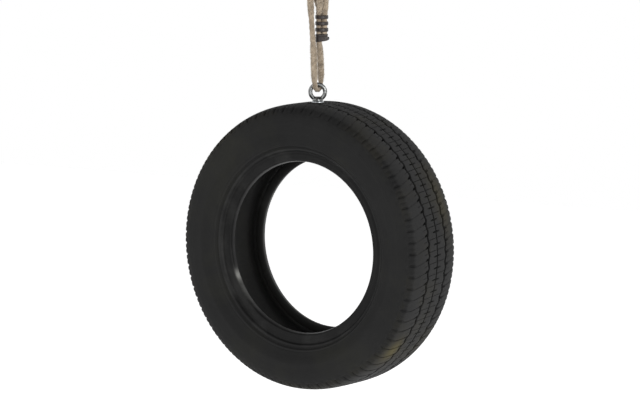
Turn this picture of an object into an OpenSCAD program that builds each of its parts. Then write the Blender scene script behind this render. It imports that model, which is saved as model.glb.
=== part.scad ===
// Tire swing: an upright car tyre on an eye nut, hung by one doubled rope from a swivel hanger.
// +Z is up and the tyre's axis is Y. The origin is in the hanger's mounting face, over the swivel.

/* [Tyre] */
// Outer diameter of the tyre over the tread
tyre_d = 547; // [500:1:620]
// Width of the tyre across its sidewalls
tyre_w = 158; // [140:1:190]
// Inner diameter at the bead toes
toe_d = 327; // [300:1:350]
// Distance between the outer faces of the two beads
bead_w = 116; // [100:1:130]
// Width of one bead across its base
bead_base_w = 12; // [8:0.5:16]
// Squareness of the shoulders, as the power of the superellipse
shoulder_power = 4.5; // [3:0.1:6]
// Thickness of rubber from the carcass ply to the tread's surface
tread_t = 12.6; // [10:0.1:16]
// Thickness of rubber from the ply to the skin at the widest point
wall_t = 4.6; // [4:0.1:6]
// Thickness from the ply to the skin at the bead
bead_t = 10; // [8:0.1:12]
// Thickness of the carcass ply, each belt and the inner liner
ply_t = 1.2; // [0.8:0.1:2]
// Distance from the middle tread groove to each outer one
groove_gap = 28; // [22:0.5:34]
// Width of a tread groove
groove_w = 4; // [3:0.2:5]
// Depth of a tread groove
groove_depth = 7; // [4:0.2:8.4]

/* [Eye fixing] */
// Thread diameter of the eye bolt
eye_bolt_d = 8; // [6:1:10]
// Inner diameter of the eye
eye_id = 20; // [18:1:26]
// Thickness of the eye's ring
eye_wire_d = 8; // [6:0.5:10]
// Diameter of the eye nut's base
eye_base_d = 20; // [16:1:24]
// Height of the eye's centre over its base
eye_rise = 18; // [17:0.5:22]
// Turn of the eye about the vertical
eye_turn = 35; // [0:1:90]
// Outer diameter of the washer on the tread
tread_washer_d = 24; // [22:1:30]
// Outer diameter of the washer inside the tyre
spreader_washer_d = 30; // [24:1:36]
// Thickness of both flat washers
washer_t = 2; // [1.5:0.1:3]

/* [Rope and clamp] */
// Diameter of the rope
rope_d = 10; // [8:0.5:10]
// Clearance round the rope in the clamp
rope_play = 0.3; // [0.2:0.1:0.6]
// Outer diameter of the clamp's rings
clamp_d = 25; // [24.6:0.2:32]
// Height of one clamp ring
clamp_ring_h = 7; // [4:0.5:8]
// Distance from one clamp ring to the next
clamp_pitch = 12; // [9:0.5:14]
// Number of clamp rings
clamp_rings = 3; // [2:1:4]
// Width of the spine that joins the clamp rings at the back
clamp_spine_w = 9; // [5:0.5:12]
// Height of the clamp's block
clamp_block_h = 17; // [14:0.5:20]
// Wall of the block round the rope
clamp_wall = 1.4; // [1:0.1:2.5]
// Diameter of a clamp screw's shank
clamp_screw_d = 3.5; // [2.5:0.1:4]

/* [Hanger] */
// Length of the mounting plate along X
plate_l = 104; // [96:1:140]
// Width of the mounting plate along Y
plate_w = 60; // [56:1:90]
// Thickness of the plate and of its cup
plate_t = 5; // [4:0.5:8]
// Distance between mounting holes along X
hole_gap_x = 76; // [70:1:90]
// Distance between mounting holes along Y
hole_gap_y = 36; // [30:1:44]
// Diameter of a mounting hole
hole_d = 9; // [6:0.5:11]
// Outer diameter of the cup that holds the swivel nut
cup_d = 42; // [40:1:50]
// Depth of the cup below the mounting face
cup_depth = 28; // [27:1:40]
// Diameter of the swivel stem
stem_d = 12; // [10:1:14]
// Diameter of the clevis bolt
clevis_bolt_d = 10; // [8:1:12]
// Gap between the two arms of the clevis
clevis_gap = 12; // [11:0.5:16]
// Thickness of one clevis arm
clevis_arm_t = 6; // [5:0.5:8]
// Width of the clevis arms
clevis_arm_w = 24; // [20:1:30]
// Distance from the clevis bolt up to the crotch of the clevis
clevis_reach = 24; // [24:1:32]
// Thickness of the clevis bridge
clevis_bridge_t = 12; // [10:1:16]
// Thickness of the hanging ring's wire
ring_wire_d = 10; // [8:0.5:11]
// Inner diameter of the hanging ring
ring_id = 46; // [44:1:52]

/* [Hidden] */

// Clearances: a running fit on the radius, and the small gap between parts that only touch.
run_fit = 0.05;
seat_gap = 0.3;
bolt_play = 0.25;

// Height of the tyre's crown, where the eye nut stands, below the mounting face.
crown_z = -350;
tyre_r = tyre_d / 2;
tyre_z = crown_z - tyre_r;

// Standard nut and bolt head sizes by thread: width across flats, nut height, head height.
function across_flats(d) = d == 12 ? 19 : d == 10 ? 17 : 1.5 * d + 1;
function nut_h(d) = d;
function head_h(d) = 0.66 * d;

/* Hexagon prism of a nut or bolt head, standing on z = 0 */
module hexagon(af, h) {
    cylinder(d = af / cos(30), h = h, $fn = 6);
}

/* Flat ring standing on z = 0 */
module washer(od, id, h) {
    difference() {
        cylinder(d = od, h = h, $fn = 64);
        translate([0, 0, -1]) cylinder(d = id, h = h + 2, $fn = 48);
    }
}

/* Round wire bent into a ring that stands in the XZ plane */
module wire_ring(id, wire_d) {
    rotate([90, 0, 0])
        rotate_extrude($fn = 72)
            translate([id / 2 + wire_d / 2, 0]) circle(d = wire_d, $fn = 32);
}

// ---- Hanger -------------------------------------------------------------------------------

bush_flange_t = 2.5;
bush_wall = 3;
swivel_washer_t = 2.5;
cup_floor_z = -cup_depth + plate_t;
clevis_top_z = -cup_depth - seat_gap;
crotch_z = clevis_top_z - clevis_bridge_t;
clevis_bolt_z = crotch_z - clevis_reach;
ring_seat_gap = seat_gap;
ring_mean_r = (ring_id + ring_wire_d) / 2;
ring_z = clevis_bolt_z + clevis_bolt_d / 2 + ring_seat_gap + ring_wire_d / 2 - ring_mean_r;
swivel_washer_z = cup_floor_z + bush_flange_t;
swivel_nut_z = swivel_washer_z + swivel_washer_t;
stem_top_z = swivel_nut_z + nut_h(stem_d) + 1.5;
clevis_y = clevis_gap / 2 + clevis_arm_t;
clevis_washer_t = 2;

module mounting_plate() color("silver") {
    difference() {
        union() {
            translate([-plate_l / 2 + 8, -plate_w / 2, -plate_t]) cube([plate_l - 16, plate_w, plate_t]);
            translate([-plate_l / 2, -plate_w / 2 + 8, -plate_t]) cube([plate_l, plate_w - 16, plate_t]);
            for (sx = [-1, 1], sy = [-1, 1])
                translate([sx * (plate_l / 2 - 8), sy * (plate_w / 2 - 8), -plate_t])
                    cylinder(r = 8, h = plate_t, $fn = 48);
            translate([0, 0, -cup_depth]) cylinder(d = cup_d, h = cup_depth, $fn = 96);
        }
        translate([0, 0, cup_floor_z]) cylinder(d = cup_d - 2 * plate_t, h = cup_depth, $fn = 96);
        translate([0, 0, -cup_depth - 1]) cylinder(d = stem_d + 2 * bush_wall, h = cup_depth, $fn = 64);
        for (sx = [-1, 1], sy = [-1, 1])
            translate([sx * hole_gap_x / 2, sy * hole_gap_y / 2, -plate_t - 1])
                cylinder(d = hole_d, h = plate_t + 2, $fn = 48);
    }
}

module swivel_bush() color("ivory") {
    difference() {
        union() {
            translate([0, 0, -cup_depth]) cylinder(d = stem_d + 2 * bush_wall, h = plate_t, $fn = 64);
            translate([0, 0, cup_floor_z]) cylinder(d = stem_d + 4 * bush_wall, h = bush_flange_t, $fn = 64);
        }
        translate([0, 0, -cup_depth - 1])
            cylinder(r = stem_d / 2 + run_fit, h = plate_t + bush_flange_t + 2, $fn = 64);
    }
}

module swivel_washer() color("silver")
    translate([0, 0, swivel_washer_z])
        washer(2 * stem_d, stem_d + 2 * bolt_play, swivel_washer_t);

module swivel_nut() color("silver")
    translate([0, 0, swivel_nut_z])
        difference() {
            hexagon(across_flats(stem_d), nut_h(stem_d));
            translate([0, 0, -1]) cylinder(d = stem_d, h = nut_h(stem_d) + 2, $fn = 64);
        }

module swivel_clevis() color("dimgray") {
    arm_round_r = clevis_arm_w / 2;
    difference() {
        union() {
            translate([0, 0, clevis_top_z]) cylinder(d = stem_d, h = stem_top_z - clevis_top_z, $fn = 64);
            translate([0, 0, crotch_z]) cylinder(r = clevis_y, h = clevis_bridge_t, $fn = 64);
            translate([-arm_round_r, -clevis_y, crotch_z])
                cube([clevis_arm_w, 2 * clevis_y, clevis_bridge_t - 3]);
            for (s = [0, 1])
                mirror([0, s, 0]) translate([0, clevis_gap / 2, 0]) {
                    translate([-arm_round_r, 0, clevis_bolt_z])
                        cube([clevis_arm_w, clevis_arm_t, clevis_reach + 1]);
                    translate([0, clevis_arm_t, clevis_bolt_z]) rotate([90, 0, 0])
                        cylinder(r = arm_round_r, h = clevis_arm_t, $fn = 64);
                }
        }
        translate([0, clevis_y + 1, clevis_bolt_z]) rotate([90, 0, 0])
            cylinder(d = clevis_bolt_d + 2 * bolt_play, h = 2 * clevis_y + 2, $fn = 48);
    }
}

module clevis_bolt() color("silver")
    translate([0, 0, clevis_bolt_z]) rotate([90, 0, 0]) {
        shank_l = clevis_y + clevis_washer_t + nut_h(clevis_bolt_d) + 2;
        translate([0, 0, clevis_y + clevis_washer_t])
            hexagon(across_flats(clevis_bolt_d), head_h(clevis_bolt_d));
        translate([0, 0, -shank_l])
            cylinder(d = clevis_bolt_d, h = shank_l + clevis_y + clevis_washer_t + 1, $fn = 48);
    }

module clevis_washers() color("silver")
    for (s = [0, 1])
        mirror([0, s, 0]) translate([0, clevis_y + clevis_washer_t, clevis_bolt_z]) rotate([90, 0, 0])
            washer(2 * clevis_bolt_d, clevis_bolt_d + 2 * bolt_play, clevis_washer_t);

module clevis_nut() color("silver")
    translate([0, clevis_y + clevis_washer_t + nut_h(clevis_bolt_d), clevis_bolt_z]) rotate([90, 0, 0])
        difference() {
            hexagon(across_flats(clevis_bolt_d), nut_h(clevis_bolt_d));
            translate([0, 0, -1]) cylinder(d = clevis_bolt_d, h = nut_h(clevis_bolt_d) + 2, $fn = 48);
        }

module hanging_ring() color("silver")
    translate([0, 0, ring_z]) wire_ring(ring_id, ring_wire_d);

// ---- Rope and clamp -----------------------------------------------------------------------

// The rope's route, from its end at the back of the clamp, over the ring, down through the eye,
// up through the clamp, over the ring again and down to its other end in the clamp.
rope_route = [
    [-1.5, 15.5, -232], [-1.5, 15.5, -210], [-1.5, 15.5, -188], [-5, 13.5, -172], [-10, 11.5, -155],
    [-10.5, 11.2, -130], [-10.5, 11.5, -110], [-10.5, 8.5, -100], [-10.5, 0, -96], [-10.5, -8.5, -100],
    [-10.5, -11.5, -110], [-10.5, -11.2, -130], [-9, -11, -160], [-5, -12, -205], [-1, -12.5, -250],
    [1, -12.8, -290], [2.4, -13.1, -314], [1.9, -9.6, -323.4], [0, 0, -326.6], [-1.9, 9.6, -323.4],
    [-2.4, 13.1, -314], [-1, 11.8, -290], [0, 8, -258], [-0.5, 5, -236], [-0.5, 5, -212],
    [-0.5, 5, -186], [2, 2.5, -172], [7, -3, -152], [10.5, -11.2, -130], [10.5, -11.5, -110],
    [10.5, -8.5, -100], [10.5, 0, -96], [10.5, 8.5, -100], [10.5, 11.5, -110], [10.5, 11.2, -130],
    [10.5, 10.5, -157], [8.5, 11, -178], [8, 11, -192], [8, 11, -212], [8, 11, -232]
];
// Where the three strands pass the clamp, seen from above.
clamp_strands = [[-0.5, 5], [8, 11], [-1.5, 15.5]];
clamp_x = 2;
clamp_y = 10.5;
clamp_turn = 35;
clamp_top_z = -185.5;
clamp_slant = 9;
rope_sides = 10;

clamp_block_z = clamp_top_z - (clamp_rings - 1) * clamp_pitch - clamp_ring_h - 4.5;
clamp_floor_z = clamp_block_z - clamp_block_h;
rope_hole_r = rope_d / 2 + rope_play;

function unit(v) = v / norm(v);
function along(a, b, c, d, t) = 0.5 * (2 * b + (c - a) * t + (2 * a - 5 * b + 4 * c - d) * t * t
    + (3 * b - a - 3 * c + d) * t * t * t);
// A smooth curve through the points: two steps to each stretch between points.
function smooth(p) = let (n = len(p)) [
    for (i = [0:n - 2], t = [0, 0.5])
        along(p[max(i - 1, 0)], p[i], p[i + 1], p[min(i + 2, n - 1)], t),
    p[n - 1]
];

/* Tube swept along the points of a line: each ring stands square to the line */
module tube(line, d, sides) {
    n = len(line);
    points = [
        for (i = [0:n - 1])
            let (
                ahead = unit(line[min(i + 1, n - 1)] - line[max(i - 1, 0)]),
                u = unit([1, 0, 0] - ahead[0] * ahead),
                v = cross(ahead, u)
            )
            for (k = [0:sides - 1])
                line[i] + d / 2 * (cos(360 * k / sides) * u + sin(360 * k / sides) * v)
    ];
    walls = [
        for (i = [0:n - 2], k = [0:sides - 1])
            let (a = i * sides + k, b = i * sides + (k + 1) % sides)
            each [[a, a + sides, b], [b, a + sides, b + sides]]
    ];
    start = [[for (k = [0:sides - 1]) k]];
    end = [[for (k = [sides - 1:-1:0]) (n - 1) * sides + k]];
    polyhedron(points, concat(walls, start, end));
}

module rope() color("burlywood")
    tube(smooth(rope_route), rope_d, rope_sides);

/* Rounded triangle round the three strands, r wider than their centres: an arc round each one */
module strand_outline(r) {
    arc_steps = 10;
    polygon([
        for (i = [0:2])
            let (
                last = clamp_strands[(i + 2) % 3], here = clamp_strands[i], next = clamp_strands[(i + 1) % 3],
                from = atan2(here[1] - last[1], here[0] - last[0]) - 90,
                turn = (atan2(next[1] - here[1], next[0] - here[0]) - 90 - from + 720) % 360
            )
            for (k = [0:arc_steps])
                here + r * [cos(from + turn * k / arc_steps), sin(from + turn * k / arc_steps)]
    ]);
}

module rope_clamp() color([0.13, 0.1, 0.09]) {
    bore_r = clamp_d / 2 - 1.3;
    edge = 0.8;
    foot_h = 3;
    difference() {
        union() {
            translate([clamp_x, clamp_y, 0]) {
                for (i = [0:clamp_rings - 1])
                    translate([0, 0, clamp_top_z - i * clamp_pitch - clamp_ring_h / 2])
                        rotate_extrude($fn = 64)
                            polygon([
                                [bore_r, -clamp_ring_h / 2], [clamp_d / 2 - edge, -clamp_ring_h / 2],
                                [clamp_d / 2, -clamp_ring_h / 2 + edge],
                                [clamp_d / 2, clamp_ring_h / 2 - edge],
                                [clamp_d / 2 - edge, clamp_ring_h / 2], [bore_r, clamp_ring_h / 2]
                            ]);
                // The spine, with a foot that reaches in to the block.
                intersection() {
                    translate([0, 0, clamp_block_z - foot_h]) difference() {
                        cylinder(d = clamp_d - edge, h = clamp_top_z - clamp_block_z + foot_h - 1, $fn = 64);
                        translate([0, 0, foot_h])
                            cylinder(r = bore_r, h = clamp_top_z - clamp_block_z + 2, $fn = 64);
                    }
                    rotate([0, 0, clamp_turn]) translate([-clamp_spine_w / 2, 0, clamp_floor_z])
                        cube([clamp_spine_w, clamp_d, clamp_top_z - clamp_floor_z]);
                }
            }
            translate([0, 0, clamp_floor_z])
                linear_extrude(clamp_block_h) strand_outline(rope_hole_r + clamp_wall);
        }
        translate([clamp_strands[0][0], clamp_strands[0][1], clamp_floor_z - 5])
            cylinder(r = rope_hole_r, h = clamp_block_h + 10, $fn = 40);
        for (i = [1, 2])
            translate([clamp_strands[i][0], clamp_strands[i][1], rope_route[0][2]])
                cylinder(r = rope_hole_r, h = clamp_block_h + 10, $fn = 40);
        clamp_screw_places() cylinder(d = clamp_screw_d, h = 12, $fn = 24);
        translate([clamp_x, clamp_y, clamp_floor_z + 1.2]) rotate([0, -clamp_slant, clamp_turn])
            translate([-30, -30, -10]) cube([60, 60, 10]);
    }
}

/* Each screw lies square to the block's back face, between the two rope ends, and points at one */
module clamp_screw_places() {
    face = clamp_strands[2] - clamp_strands[1];
    for (i = [1, 2])
        translate([clamp_strands[i][0], clamp_strands[i][1], clamp_block_z - clamp_block_h / 2])
            rotate([0, 90, atan2(face[1], face[0]) - 90]) children();
}

module clamp_screws() color("silver")
    clamp_screw_places() {
        translate([0, 0, -2]) cylinder(d = clamp_screw_d, h = rope_hole_r + clamp_wall + 2.2, $fn = 24);
        translate([0, 0, rope_hole_r + clamp_wall]) cylinder(d = 2 * clamp_screw_d, h = 2, $fn = 32);
    }

// ---- Eye fixing ---------------------------------------------------------------------------

// The washer beds this far into the tread.
washer_bed = 0.6;
tread_washer_z = crown_z - washer_bed;
eye_base_z = tread_washer_z + washer_t;
eye_z = eye_base_z + eye_rise;
eye_base_h = 8.5;
liner_r = tyre_r - tread_t - 1.5 * ply_t;
// The inner washer's edges touch the curved liner, so its top is this much lower than the liner.
spreader_top_z = tyre_z + sqrt(pow(liner_r, 2) - pow(spreader_washer_d / 2, 2)) - 0.1;
lock_washer_t = 2;
eye_bolt_head_z = spreader_top_z - washer_t - lock_washer_t;
eye_bolt_hole_d = eye_bolt_d + 2 * bolt_play;

module eye_nut() color("silver")
    translate([0, 0, eye_z]) rotate([0, 0, eye_turn])
        difference() {
            union() {
                wire_ring(eye_id, eye_wire_d);
                translate([0, 0, -eye_rise]) cylinder(d = eye_base_d, h = eye_base_h - 3, $fn = 48);
                translate([0, 0, -eye_rise + eye_base_h - 3])
                    cylinder(d1 = eye_base_d, d2 = 14, h = 3, $fn = 48);
            }
            translate([0, 0, -eye_rise - 1]) cylinder(d = eye_bolt_d, h = eye_base_h + 1, $fn = 40);
            // The eye stays open where the base rises into it.
            rotate([90, 0, 0]) translate([0, 0, -eye_base_d / 2])
                cylinder(d = eye_id, h = eye_base_d, $fn = 64);
        }

module tread_washer() color("silver")
    translate([0, 0, tread_washer_z]) washer(tread_washer_d, eye_bolt_hole_d, washer_t);

module eye_bolt() color("silver") {
    translate([0, 0, eye_bolt_head_z - head_h(eye_bolt_d)])
        hexagon(across_flats(eye_bolt_d), head_h(eye_bolt_d));
    translate([0, 0, eye_bolt_head_z - 1])
        cylinder(d = eye_bolt_d, h = eye_base_z + 6.5 - eye_bolt_head_z + 1, $fn = 40);
}

module lock_washer() color("silver")
    translate([0, 0, eye_bolt_head_z]) washer(1.75 * eye_bolt_d, eye_bolt_hole_d, lock_washer_t);

module spreader_washer() color("silver")
    translate([0, 0, spreader_top_z - washer_t]) washer(spreader_washer_d, eye_bolt_hole_d, washer_t);

// ---- Tyre ---------------------------------------------------------------------------------

// The tyre's outline runs from the crown (s = 0) over the shoulder to the widest point (s = 1)
// and in to the bead (s = 2). Each point is [y, r]: across the tyre, and out from its axis.
shoulder_drop = 51.5;
widest_r = tyre_r - shoulder_drop;
bead_r = toe_d / 2 + 7.5;
half_w = tyre_w / 2;
half_bead = bead_w / 2;

function crown_part(a) =
    let (
        reach = pow(pow(sin(a) / half_w, shoulder_power)
            + pow(cos(a) / (tyre_r - widest_r), shoulder_power), -1 / shoulder_power)
    )
    [reach * sin(a), widest_r + reach * cos(a)];
function wall_part(u) = [
    half_bead + (half_w - half_bead) * (1 + cos(180 * u)) / 2,
    widest_r - (widest_r - bead_r) * u
];
function skin(s) = s < 1 ? crown_part(90 * s) : wall_part(s - 1);
function outward(s) =
    let (t = skin(min(s + 0.01, 2)) - skin(max(s - 0.01, 0)))
    s == 0 ? [0, 1] : unit([-t[1], t[0]]);

// Rubber between the ply and the skin, from the crown to the bead.
function depth(s) = lookup(s, [[0, tread_t], [0.64, tread_t], [1, wall_t], [1.48, wall_t], [2, bead_t]]);
// A point off the carcass ply's middle: d is positive towards the skin.
function off_ply(s, d) = skin(s) - (depth(s) - d) * outward(s);
function under_skin(s, d) = skin(s) - d * outward(s);

// Where each layer ends along the outline.
tread_end = 0.72;
lower_belt_end = 0.64;
upper_belt_end = 0.6;
filler_start = 1.52;
filler_end = 1.88;
chafer_start = 1.64;
liner_end = 1.8;
cover_t = 4;
half_ply = ply_t / 2;

// Stations along the outline, shared by all layers so that they meet face to face.
station = 0.04;
function steps(from, to) =
    let (a = round(from / station), b = round(to / station), way = b > a ? 1 : -1)
    [for (i = [a:way:b]) i * station];
function back(list) = [for (i = [len(list) - 1:-1:0]) list[i]];
function mirrored(list) = [for (p = back(list)) [-p[0], p[1]]];

// Both halves of a line that starts at the crown, as one line from side to side.
function both_sides(half) = concat(mirrored(half), [for (i = [1:len(half) - 1]) half[i]]);

/* Ring about the tyre's axis whose section is a list of [y, r] points */
module hoop(section) {
    translate([0, 0, tyre_z]) rotate([-90, 0, 0])
        rotate_extrude($fn = 128)
            polygon([for (p = section) [p[1], p[0]]]);
}

module eye_bolt_hole(d = eye_bolt_hole_d) {
    translate([0, 0, tyre_z + liner_r - 20]) cylinder(d = d, h = 60, $fn = 40);
}

/* Layer across the whole tyre between two distances off the ply, from side to side */
module full_layer(low, high, end) {
    line = steps(0, end);
    difference() {
        hoop(concat(
            both_sides([for (s = line) off_ply(s, high)]),
            back(both_sides([for (s = line) off_ply(s, low)]))
        ));
        eye_bolt_hole();
    }
}

module tread() color([0.14, 0.14, 0.14]) {
    outer = [for (s = steps(0, tread_end)) skin(s)];
    under = concat(
        [for (s = steps(0, upper_belt_end)) off_ply(s, half_ply + 2 * ply_t)],
        [for (s = steps(upper_belt_end, lower_belt_end)) off_ply(s, half_ply + ply_t)],
        [for (s = steps(lower_belt_end, tread_end)) off_ply(s, half_ply)]
    );
    difference() {
        hoop(concat(both_sides(outer), back(both_sides(under))));
        for (y = [-groove_gap, 0, groove_gap])
            hoop([
                [y - groove_w / 2, tyre_r - groove_depth], [y + groove_w / 2, tyre_r - groove_depth],
                [y + groove_w / 2, tyre_r + 5], [y - groove_w / 2, tyre_r + 5]
            ]);
        eye_bolt_hole();
        translate([0, 0, tread_washer_z]) cylinder(d = tread_washer_d + 0.6, h = 20, $fn = 64);
    }
}

module upper_belt() color("slategray")
    full_layer(half_ply + ply_t, half_ply + 2 * ply_t, upper_belt_end);

module lower_belt() color("lightslategray")
    full_layer(half_ply, half_ply + ply_t, lower_belt_end);

module carcass_ply() color("tan")
    full_layer(-half_ply, half_ply, 2);

module inner_liner() color([0.1, 0.1, 0.1])
    full_layer(-half_ply - ply_t, -half_ply, liner_end);

/* One side's hoop: the front is at -Y and the rear at +Y */
module side_hoop(side, section) {
    hoop([for (p = section) [side * p[0], p[1]]]);
}

module sidewall(side) color([0.16, 0.16, 0.16])
    side_hoop(side, concat(
        [for (s = steps(tread_end, chafer_start)) skin(s)],
        [for (s = steps(chafer_start, filler_start)) under_skin(s, cover_t)],
        [for (s = steps(filler_start, tread_end)) off_ply(s, half_ply)]
    ));

module bead_filler(side) color([0.1, 0.1, 0.12])
    side_hoop(side, concat(
        [for (s = steps(filler_start, filler_end)) under_skin(s, cover_t)],
        [for (s = steps(filler_end, filler_start)) off_ply(s, half_ply)]
    ));

module bead_core(side) color("peru")
    side_hoop(side, concat(
        [for (s = steps(filler_end, 2)) under_skin(s, cover_t)],
        [for (s = steps(2, filler_end)) off_ply(s, half_ply)]
    ));

module chafer(side) color([0.1, 0.1, 0.1]) {
    heel = skin(2);
    toe = [heel[0] - bead_base_w, toe_d / 2];
    side_hoop(side, concat(
        [for (s = steps(chafer_start, 2)) skin(s)],
        [[heel[0] - 0.8, toe_d / 2 + 4.2], [heel[0] - 3.5, toe_d / 2 + 1.6]],
        [toe],
        [for (s = steps(2, liner_end)) off_ply(s, -half_ply - ply_t)],
        [for (s = steps(liner_end, 2)) off_ply(s, -half_ply)],
        [for (s = steps(2, chafer_start)) under_skin(s, cover_t)]
    ));
}

module front_sidewall() sidewall(-1);
module rear_sidewall() sidewall(1);
module front_bead_core() bead_core(-1);
module rear_bead_core() bead_core(1);
module front_bead_filler() bead_filler(-1);
module rear_bead_filler() bead_filler(1);
module front_chafer() chafer(-1);
module rear_chafer() chafer(1);

mounting_plate();
swivel_bush();
swivel_washer();
swivel_nut();
swivel_clevis();
clevis_bolt();
clevis_washers();
clevis_nut();
hanging_ring();
rope();
rope_clamp();
clamp_screws();
eye_nut();
tread_washer();
eye_bolt();
lock_washer();
spreader_washer();
tread();
upper_belt();
lower_belt();
carcass_ply();
inner_liner();
front_sidewall();
rear_sidewall();
front_bead_core();
rear_bead_core();
front_bead_filler();
rear_bead_filler();
front_chafer();
rear_chafer();
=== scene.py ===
"""Looks of the tire swing: a car tyre under an eye nut, a doubled hemp-look rope and its hanger."""

import math

import bmesh
import bpy
import mathutils
import numpy as np
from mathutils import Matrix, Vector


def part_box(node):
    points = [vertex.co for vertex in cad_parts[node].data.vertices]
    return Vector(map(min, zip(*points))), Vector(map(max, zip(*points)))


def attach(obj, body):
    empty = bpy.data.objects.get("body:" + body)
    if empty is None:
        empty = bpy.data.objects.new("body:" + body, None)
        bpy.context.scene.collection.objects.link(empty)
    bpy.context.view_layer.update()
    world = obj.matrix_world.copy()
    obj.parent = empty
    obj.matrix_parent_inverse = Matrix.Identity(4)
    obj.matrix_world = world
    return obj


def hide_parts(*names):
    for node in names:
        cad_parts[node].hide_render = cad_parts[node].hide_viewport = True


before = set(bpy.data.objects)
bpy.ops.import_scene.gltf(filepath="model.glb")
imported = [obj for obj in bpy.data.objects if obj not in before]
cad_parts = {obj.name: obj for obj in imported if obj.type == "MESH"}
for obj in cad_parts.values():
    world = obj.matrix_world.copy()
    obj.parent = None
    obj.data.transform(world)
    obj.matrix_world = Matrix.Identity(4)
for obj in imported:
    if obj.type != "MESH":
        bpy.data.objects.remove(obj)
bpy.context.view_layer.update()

# ---- Camera ---------------------------------------------------------------------------------
# The swing is seen from its right front, a little from above, with a long lens far back. The
# tyre and the lower half of the rope are in view; the hanger is above the view's top edge.

tread_low, tread_high = (np.array(c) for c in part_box("tread"))
tyre_centre = (tread_low + tread_high) / 2
tyre_r = (tread_high[2] - tread_low[2]) / 2

camera_turn = math.radians(35.3)
camera_rise = math.radians(7.3)
camera_far = 6.0
camera = bpy.data.objects.new("camera", bpy.data.cameras.new("camera"))
bpy.context.scene.collection.objects.link(camera)
bpy.context.scene.camera = camera
camera.data.lens = 176.6
camera.data.sensor_width = 36
camera.data.shift_x = 0.0036
camera.data.shift_y = 0.070
camera.rotation_euler = (math.pi / 2 - camera_rise, 0, camera_turn)
camera.location = tyre_centre + camera_far * np.array([
    math.sin(camera_turn) * math.cos(camera_rise),
    -math.cos(camera_turn) * math.cos(camera_rise),
    math.sin(camera_rise),
])

# ---- Rope -----------------------------------------------------------------------------------
# One length of 10 mm hemp-look rope: three strands of split polypropylene yarn laid to the right.
# It is tied into nothing: it lies over the steel ring twice and its ends are screwed in the clamp.

rope_d = 0.010
rope_lay = 0.034  # length in which a strand goes once round the rope
route_mm = [
    (-1.5, 15.5, -232), (-1.5, 15.5, -210), (-1.5, 15.5, -188), (-5, 13.5, -172), (-10, 11.5, -155),
    (-10.5, 11.2, -130), (-10.5, 11.5, -110), (-10.5, 8.5, -100), (-10.5, 0, -96), (-10.5, -8.5, -100),
    (-10.5, -11.5, -110), (-10.5, -11.2, -130), (-9, -11, -160), (-5, -12, -205), (-1, -12.5, -250),
    (1, -12.8, -290), (2.4, -13.1, -314), (1.9, -9.6, -323.4), (0, 0, -326.6), (-1.9, 9.6, -323.4),
    (-2.4, 13.1, -314), (-1, 11.8, -290), (0, 8, -258), (-0.5, 5, -236), (-0.5, 5, -212),
    (-0.5, 5, -186), (2, 2.5, -172), (7, -3, -152), (10.5, -11.2, -130), (10.5, -11.5, -110),
    (10.5, -8.5, -100), (10.5, 0, -96), (10.5, 8.5, -100), (10.5, 11.5, -110), (10.5, 11.2, -130),
    (10.5, 10.5, -157), (8.5, 11, -178), (8, 11, -192), (8, 11, -212), (8, 11, -232),
]


def smooth_line(points, step):
    """A curve through the points, each stretch a cubic set by its two neighbours, at even steps."""
    p = np.array(points, float)
    p = np.vstack([p[:1], p, p[-1:]])
    a, b, c, d = p[:-3], p[1:-2], p[2:-1], p[3:]
    t = np.linspace(0, 1, 24, endpoint=False)[:, None, None]
    bends = 0.5 * (2 * b + (c - a) * t + (2 * a - 5 * b + 4 * c - d) * t ** 2
                   + (3 * b - a - 3 * c + d) * t ** 3)
    line = np.vstack([bends.transpose(1, 0, 2).reshape(-1, 3), p[-1:]])
    run = np.r_[0, np.cumsum(np.linalg.norm(np.diff(line, axis=0), axis=1))]
    even = np.linspace(0, run[-1], int(run[-1] / step) + 1)
    return np.stack([np.interp(even, run, line[:, k]) for k in range(3)], 1)


def full_turn(count):
    """Angles evenly round a whole turn."""
    return np.linspace(0, 2 * math.pi, count, endpoint=False)


def about_z(r, a, z):
    """Points at a distance from the Z axis, an angle round it and a height."""
    return np.stack(np.broadcast_arrays(r * np.cos(a), r * np.sin(a), z), -1)


def bell(x, middle, width):
    """A soft hump 1 high: e to the power of minus the square of x's distance in widths."""
    return np.exp(-((x - middle) / width) ** 2)


def frames_along(line):
    """At each point of a line: the way ahead, and two directions square to it, kept off the X axis."""
    ahead = np.gradient(line, axis=0)
    ahead /= np.linalg.norm(ahead, axis=1)[:, None]
    u = np.array([1.0, 0, 0]) - ahead[:, :1] * ahead
    u /= np.linalg.norm(u, axis=1)[:, None]
    return ahead, u, np.cross(ahead, u)


def grid_faces(rows, columns, closed_rows=False, closed_columns=False):
    """Quads of a grid of points, row by row, wrapped where a direction is closed."""
    i = np.arange(rows if closed_rows else rows - 1)
    j = np.arange(columns if closed_columns else columns - 1)
    i, j = (g.ravel() for g in np.meshgrid(i, j, indexing="ij"))
    i2, j2 = (i + 1) % rows, (j + 1) % columns
    return np.stack([i * columns + j, i2 * columns + j, i2 * columns + j2, i * columns + j2], 1)


def store(mesh, name, values):
    """Keeps a number for each point of a mesh, for its material to read."""
    numbers = np.ravel(values).astype(np.float32)
    mesh.attributes.new(name, "FLOAT", "POINT").data.foreach_set("value", numbers)


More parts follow.
